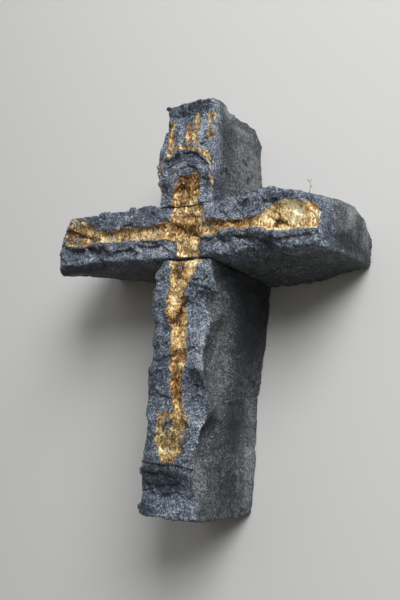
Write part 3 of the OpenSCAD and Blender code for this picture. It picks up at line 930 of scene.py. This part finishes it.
# %% [markdown]
# The granite's colour is one effect in a group of its own, so that the mineral list and
# the grain can be changed in one place. It is a dark blue-grey stone of two grain sizes,
# with black mica, grey quartz and near-white feldspar. Two Voronoi textures pick a
# mineral for each crystal, and two wide noises make clouds and patches of it. The group
# puts out the mineral's colour and a height, so that the crystals also catch the light.

# %% Granite crystals
CRYSTAL = 2.0 * MM
CRYSTAL_BEND = 0.9
FINE_TO_COARSE = 2.3
COARSE_PICK = 0.45
FINE_PICK = 0.55
COARSE_HEIGHT = 0.6
FINE_HEIGHT = 0.4
CLOUD_GRAIN = 0.11
CLOUDS = 0.40
PATCH_GRAIN = 0.04
PATCHES = 0.35
MINERALS = [
    (0.00, (0.008, 0.011, 0.017)),
    (0.24, (0.024, 0.033, 0.048)),
    (0.46, (0.070, 0.088, 0.122)),
    (0.64, (0.145, 0.172, 0.220)),
    (0.84, (0.40, 0.43, 0.47)),
]


def new_group(name, inputs, outputs):
    tree = bpy.data.node_groups.new(name, "ShaderNodeTree")
    for label, (kind, value) in inputs.items():
        socket = tree.interface.new_socket(label, in_out="INPUT", socket_type=kind)
        if value is not None:
            socket.default_value = value
    for label, kind in outputs.items():
        tree.interface.new_socket(label, in_out="OUTPUT", socket_type=kind)
    return tree, add(tree, "NodeGroupInput").outputs


def crystal_group():
    tree, given = new_group("granite_crystals", {
        "Place": ("NodeSocketVector", None),
        "Crystal": ("NodeSocketFloat", CRYSTAL),
        "Lift": ("NodeSocketFloat", 0.0),
    }, {"Color": "NodeSocketColor", "Height": "NodeSocketFloat"})
    unit = scaled(tree, given["Place"], calc(tree, "DIVIDE", 1.0, given["Crystal"]))
    bent = bent_place(tree, unit, scale=1.1, detail=2.0, amount=CRYSTAL_BEND)
    coarse = cells(tree, bent, 1.0).outputs["Color"]
    coarse = add(tree, "ShaderNodeSeparateColor", {0: coarse}).outputs
    fine = cells(tree, bent, FINE_TO_COARSE).outputs["Color"]
    fine = add(tree, "ShaderNodeSeparateColor", {0: fine}).outputs
    pick = calc(tree, "MULTIPLY", fine[0], FINE_PICK)
    pick = calc(tree, "MULTIPLY_ADD", coarse[0], COARSE_PICK, pick)
    pick = nudged(tree, pick, noise(tree, unit, CLOUD_GRAIN, 3.0, 0.6).outputs[0], CLOUDS)
    pick = nudged(tree, pick, noise(tree, unit, PATCH_GRAIN, 2.0, 0.5).outputs[0], PATCHES)
    # Lift darkens or pales the pick: the stone's own patches, with painted shade in hollows and
    # painted highlight on crests
    pick = calc(tree, "ADD", pick, given["Lift"])
    height = calc(tree, "MULTIPLY", coarse[1], COARSE_HEIGHT)
    height = calc(tree, "MULTIPLY_ADD", fine[1], FINE_HEIGHT, height)
    add(tree, "NodeGroupOutput", {"Color": ramp(tree, pick, MINERALS), "Height": height})
    return tree


crystals = crystal_group()
print("minerals:", len(MINERALS))

# %% [markdown]
# The gold is leaf laid straight on the rough channel, and years outdoors have worn it.
# It is brightest where it is new or rubbed, goes orange and brown where the size below
# shows through, and breaks into speckles at its edges. The group takes the four maps
# stored on the mesh, for the edge, tone, wear and warmth, and the ridges of the relief.
# It turns them into a ragged mask, a colour and a crinkled height.

# %% Gold leaf
LEAF_TONES = [
    (0.00, (0.020, 0.012, 0.006)),
    (0.20, (0.075, 0.038, 0.013)),
    (0.40, (0.25, 0.125, 0.036)),
    (0.58, (0.47, 0.295, 0.115)),
    (0.76, (0.72, 0.55, 0.27)),
    (1.00, (0.93, 0.83, 0.60)),
]
LEAF_CASTS = [(0.0, (0.74, 0.90, 1.0)), (0.5, (1.0, 1.0, 1.0)), (1.0, (1.0, 0.82, 0.52))]
LEAF_GRAIN = (1.0, 1.0, 0.6)
EDGE_GRAIN = 110.0
EDGE_RAGGED = 0.75
SPECKLE_GRAIN = 420.0
EDGE_SPECKLED = 0.5
LAID_BAND = (0.44, 0.54)
RUB_GRAIN = 240.0
RUB_SLOPE = 0.62
RUB_REST = 0.06
WHOLE_BAND = (-0.08, 0.03)
CRINKLE_GRAIN = 420.0
CRINKLE_TWIST = 0.8
DRIFT_GRAIN = 75.0
TONE_BY_CRINKLE = 2.2
TONE_BY_DRIFT = 0.95
LEAF_PAINTED_SHADE_BY_RIDGE = 0.35


def leaf_mask(tree, given):
    """1 where leaf is left: inside a ragged edge and not rubbed through."""
    wobble = noise(tree, given["Place"], EDGE_GRAIN, 4.0, 0.7).outputs[0]
    speckle = noise(tree, given["Place"], SPECKLE_GRAIN, 2.0, 0.6).outputs[0]
    reach = nudged(tree, given["Edge"], wobble, EDGE_RAGGED)
    reach = nudged(tree, reach, speckle, EDGE_SPECKLED)
    patch = noise(tree, given["Place"], RUB_GRAIN, 3.0, 0.75).outputs[0]
    left = calc(tree, "SUBTRACT", 1.0, given["Wear"])
    left = calc(tree, "MULTIPLY_ADD", left, RUB_SLOPE, RUB_REST)
    whole = rise(tree, calc(tree, "SUBTRACT", left, patch), *WHOLE_BAND)
    return calc(tree, "MULTIPLY", rise(tree, reach, *LAID_BAND), whole)


def leaf_group():
    tree, given = new_group("gold_leaf", {
        "Place": ("NodeSocketVector", None),
        "Edge": ("NodeSocketFloat", 0.0),
        "Tone": ("NodeSocketFloat", TONE),
        "Wear": ("NodeSocketFloat", WEAR),
        "Ridge": ("NodeSocketFloat", 0.5),
        "Warm": ("NodeSocketFloat", 0.0),
    }, {"Mask": "NodeSocketFloat", "Color": "NodeSocketColor", "Height": "NodeSocketFloat"})
    drawn = vector(tree, "MULTIPLY", given["Place"], LEAF_GRAIN)
    crinkle = noise(tree, drawn, CRINKLE_GRAIN, 4.0, 0.72)
    crinkle.inputs["Distortion"].default_value = CRINKLE_TWIST
    crinkle = crinkle.outputs[0]
    drift = noise(tree, given["Place"], DRIFT_GRAIN, 3.0, 0.6).outputs[0]
    tone = nudged(tree, given["Tone"], crinkle, TONE_BY_CRINKLE)
    tone = nudged(tree, tone, drift, TONE_BY_DRIFT)
    # The leaf is painted paler on the relief's crests and darker in its folds: painted highlight
    # and painted shade
    tone = nudged(tree, tone, given["Ridge"], LEAF_PAINTED_SHADE_BY_RIDGE)
    cast = ramp(tree, calc(tree, "MULTIPLY_ADD", given["Warm"], 0.5, 0.5), LEAF_CASTS)
    colour = mix_colour(tree, 1.0, ramp(tree, tone, LEAF_TONES), cast, "MULTIPLY")
    outputs = {"Mask": leaf_mask(tree, given), "Color": colour, "Height": crinkle}
    add(tree, "NodeGroupOutput", outputs)
    return tree


leaf = leaf_group()
print("leaf tones:", len(LEAF_TONES))

# %% [markdown]
# One material carries both, because the leaf has no thickness to model: its mask
# decides at every point whether stone or gold shows. On the rock face the crystals are
# fresh and blue. The sides are painted duller, darker and a more neutral grey, partly
# their weathered colour and partly painted shade, with dark blotches, and with pale
# streaks where rain runs down.

# %% The gilded granite
SIDE_TINT_AND_SHADE = (0.58, 0.56, 0.50)
SIDE_GREY = (0.032, 0.034, 0.033)
SIDE_FADE = 0.08
STREAK_COLOUR = (0.125, 0.13, 0.13)
STREAK_STRETCH = (1.0, 1.0, 0.09)
STREAK_GRAIN = 42.0
STREAK_BAND = (0.52, 0.80)
STREAK_BY_SHADE = 2.0
STREAK_SHARE = 0.55
SIDE_DARK = (0.012, 0.013, 0.012)
BLOTCH_GRAIN = 120.0
BLOTCH_BAND = (0.52, 0.66)
BLOTCH_SHARE = 0.6


def stored(tree, name):
    return add(tree, "ShaderNodeAttribute", attribute_name=name).outputs["Fac"]


def weathered_and_shaded_side(tree, place, fresh_colour, shade):
    """The colour of a side: duller and darker, partly weathering and partly painted shade, streaked
    by rain and blotched.
    """
    # The side tint darkens the sides: partly their weathered colour, partly painted shade
    side_colour = mix_colour(tree, 1.0, fresh_colour, SIDE_TINT_AND_SHADE, "MULTIPLY")
    side_colour = mix_colour(tree, SIDE_FADE, side_colour, SIDE_GREY)
    run = add(tree, "ShaderNodeMapping", {"Vector": place, "Scale": STREAK_STRETCH}).outputs[0]
    streak = rise(tree, noise(tree, run, STREAK_GRAIN, 3.0, 0.6).outputs[0], *STREAK_BAND)
    open_face = calc(tree, "MULTIPLY_ADD", shade, STREAK_BY_SHADE, STREAK_SHARE, clamp=True)
    side_colour = mix_colour(tree, calc(tree, "MULTIPLY", streak, open_face), side_colour, STREAK_COLOUR)
    blotch = rise(tree, noise(tree, place, BLOTCH_GRAIN, 3.0, 0.7).outputs[0], *BLOTCH_BAND)
    return mix_colour(tree, calc(tree, "MULTIPLY", blotch, BLOTCH_SHARE), side_colour, SIDE_DARK)


FRESH_GRAIN = 90.0
FRESH_BAND = (0.35, 0.65)
PAINTED_SHADE_BY_RIDGE = 0.30
STONE_ROUGH = 0.55
CRYSTAL_ROUGH = 0.22
GOLD_ROUGH = 0.46
METAL = 0.42
SHINE = 0.30
CRINKLE_LIFT = 1.7
BUMP_HEIGHT = 0.6 * MM
BUMP_STRENGTH = 0.8


def gilded_granite():
    material = bpy.data.materials.new("gilded_granite")
    material.use_nodes = True
    tree = material.node_tree
    tree.nodes.clear()
    place = add(tree, "ShaderNodeTexCoord").outputs["Object"]
    ridge, shade = stored(tree, "ridge"), stored(tree, "shade")

    # The ridges of the relief paint the granite paler on crests and darker in hollows: painted
    # highlight and painted shade
    tone_and_painted_shade = nudged(tree, shade, ridge, PAINTED_SHADE_BY_RIDGE)
    stone_inputs = {"Place": place, "Crystal": CRYSTAL, "Lift": tone_and_painted_shade}
    stone = add(tree, "ShaderNodeGroup", stone_inputs, node_tree=crystals).outputs
    ragged = noise(tree, place, FRESH_GRAIN, 3.0, 0.7).outputs[0]
    fresh = rise(tree, nudged(tree, stored(tree, "fresh"), ragged, 1.0), *FRESH_BAND)
    side_colour = weathered_and_shaded_side(tree, place, stone["Color"], shade)
    granite = mix_colour(tree, fresh, side_colour, stone["Color"])

    gold = add(tree, "ShaderNodeGroup", {
        "Place": place,
        "Edge": stored(tree, "leaf_edge"),
        "Tone": stored(tree, "leaf_tone"),
        "Wear": stored(tree, "leaf_wear"),
        "Ridge": ridge,
        "Warm": stored(tree, "leaf_warm"),
    }, node_tree=leaf).outputs
    mask = gold["Mask"]
    colour = mix_colour(tree, mask, granite, gold["Color"])
    rough = calc(tree, "MULTIPLY_ADD", stone["Height"], CRYSTAL_ROUGH, STONE_ROUGH)
    rough = add(tree, "ShaderNodeMix", {0: mask, 2: rough, 3: GOLD_ROUGH}, data_type="FLOAT")
    height = calc(tree, "MULTIPLY", gold["Height"], CRINKLE_LIFT)
    height = add(tree, "ShaderNodeMix", {0: mask, 2: stone["Height"], 3: height}, data_type="FLOAT")
    bump = add(tree, "ShaderNodeBump", {
        "Height": height.outputs[0], "Distance": BUMP_HEIGHT, "Strength": BUMP_STRENGTH})
    skin = add(tree, "ShaderNodeBsdfPrincipled", {
        "Base Color": colour,
        "Metallic": calc(tree, "MULTIPLY", mask, METAL),
        "Roughness": rough.outputs[0],
        "Specular IOR Level": SHINE,
        "Normal": bump.outputs[0],
    })
    add(tree, "ShaderNodeOutputMaterial", {"Surface": skin.outputs[0]})
    return material


finish = gilded_granite()
print("material:", finish.name, "with", len(finish.node_tree.nodes), "nodes")

# %% [markdown]
# The relief now goes on each stone with its own seed, so that no broken plane runs on
# across a joint. A modifier's inputs are set by their sockets' identifiers. The result
# is made a plain mesh, and the modifier goes.

# %% Hew the stones
SEEDS = {"head_block": 2.0, "crossbar_block": 5.0, "shaft_block": 9.0}
BACK_FACING = (0.4, 0.3)
JOINT_FACING = (0.6, 0.2)
SEAT_HALF = 52 * MM


def free_of_joints(node, points, normals):
    """1 where the stone may be rough, 0 on the wall face and the joint faces."""
    up = normals[:, 2]
    if node == "crossbar_block":
        up = up * (np.abs(points[:, 0]) < SEAT_HALF)
    held = facing(normals[:, 1], *BACK_FACING)
    if node != "head_block":
        held = np.maximum(held, facing(up, *JOINT_FACING))
    if node != "shaft_block":
        held = np.maximum(held, facing(-up, *JOINT_FACING))
    return 1.0 - held


def hew(node, piece):
    mesh = piece.data
    points, normals = points_of(mesh), normals_of(mesh)
    store(mesh, "free_face", free_of_joints(node, points, normals))
    relief = piece.modifiers.new("relief", "NODES")
    relief.node_group = hewn
    sockets = {i.name: i.identifier for i in hewn.interface.items_tree if i.in_out == "INPUT"}
    relief[sockets["Seed"]] = SEEDS[node]
    relief[sockets["Material"]] = finish
    mesh = baked(piece)
    mesh.polygons.foreach_set("use_smooth", np.ones(len(mesh.polygons), bool))
    corners = sum(len(p.vertices) - 2 for p in mesh.polygons)
    print(piece.name, corners, "triangles")


for node, piece in stones.items():
    hew(node, piece)

# %% [markdown]
# A little moss has settled where water stands: one stalk on the crossbar and a few dark
# tufts along the stones' back edges. Each blade is a thin three-sided spike. A tuft is a
# handful of them round one spot, at random lengths and leans from a fixed seed, and the
# stalk is a few long ones end to end with two buds.

# %% Moss
MOSS_SEED = 4
BLADES = 26
TUFTS = [(42, -3, -296), (44, -3, -334), (43, -3, -396), (220, -4, -20), (220, -4, -32)]
TUFT_SPREAD = 2.0
BLADE_WIDTH = 0.9
BLADE_LENGTHS = (2, 6)
LEAN_OUT = (0.2, 1)
LEAN_FORWARD = (0, 0.8)
LEAN_UP = (-0.8, 0.6)
IN_FRONT_OF_WALL = -1.0
STALK = [(195, -136, 35), (196, -136, 43), (195, -136, 50), (197, -136, 55)]
STALK_WIDTHS = [1.4, 1.0, 0.9, 0.6]
BUDS = [((195, -136, 50), (192, -137, 54)), ((196, -136, 43), (199, -137, 45))]
BUD_WIDTHS = (0.8, 1.4)
SPIKE_ANGLES = (0.0, 2.1, 4.2)
LEAST_RADIUS = 0.05
TUFT_COLOUR = (0.022, 0.024, 0.016)
STALK_COLOUR = (0.30, 0.15, 0.08)
MOSS_ROUGH = 0.8


def spike(work, root, tip, width, tip_width=0.0):
    """A three-sided spike from root to tip, in mm."""
    root, tip = Vector(root), Vector(tip)
    turn = (tip - root).to_track_quat("Z", "Y")
    rings = []
    for centre, radius in ((root, width / 2), (tip, max(tip_width / 2, LEAST_RADIUS))):
        ring = [turn @ Vector((math.cos(a), math.sin(a), 0.0)) * radius for a in SPIKE_ANGLES]
        rings.append([work.verts.new((centre + p) * MM) for p in ring])
    low_ring, high_ring = rings
    for k in range(3):
        n = (k + 1) % 3
        work.faces.new((low_ring[k], low_ring[n], high_ring[n], high_ring[k]))
    work.faces.new(low_ring[::-1])
    work.faces.new(high_ring)


def moss_piece(name, colour, draw):
    work = bmesh.new()
    draw(work)
    mesh = bpy.data.meshes.new(name)
    work.to_mesh(mesh)
    work.free()
    material = bpy.data.materials.new(name)
    material.use_nodes = True
    skin = material.node_tree.nodes["Principled BSDF"]
    skin.inputs["Base Color"].default_value = (*colour, 1.0)
    skin.inputs["Roughness"].default_value = MOSS_ROUGH
    mesh.materials.append(material)
    piece = link(name, mesh)
    print(name, len(mesh.polygons), "faces")
    return piece


def draw_tufts(work):
    chance = np.random.default_rng(MOSS_SEED)
    for place in TUFTS:
        for _ in range(BLADES):
            root = Vector(place) + Vector(chance.uniform(-1, 1, 3)) * TUFT_SPREAD
            out = chance.uniform(*LEAN_OUT)
            forward = chance.uniform(*LEAN_FORWARD)
            up = chance.uniform(*LEAN_UP)
            root.y = min(root.y, IN_FRONT_OF_WALL)
            blade = Vector((out, -forward, up)) * chance.uniform(*BLADE_LENGTHS)
            spike(work, root, root + blade, BLADE_WIDTH)


def draw_stalk(work):
    for k in range(len(STALK) - 1):
        spike(work, STALK[k], STALK[k + 1], STALK_WIDTHS[k], STALK_WIDTHS[k + 1])
    for root, tip in BUDS:
        spike(work, root, tip, *BUD_WIDTHS)


moss = [
    moss_piece("moss_tufts", TUFT_COLOUR, draw_tufts),
    moss_piece("moss_stalk", STALK_COLOUR, draw_stalk),
]

# %% [markdown]
# Each stone takes the place of its CAD block and rides on the one body, as the moss does.

# %% Finish
for node, piece in stones.items():
    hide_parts(node)
    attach(piece, "root")
for piece in moss:
    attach(piece, "root")

bpy.context.view_layer.update()
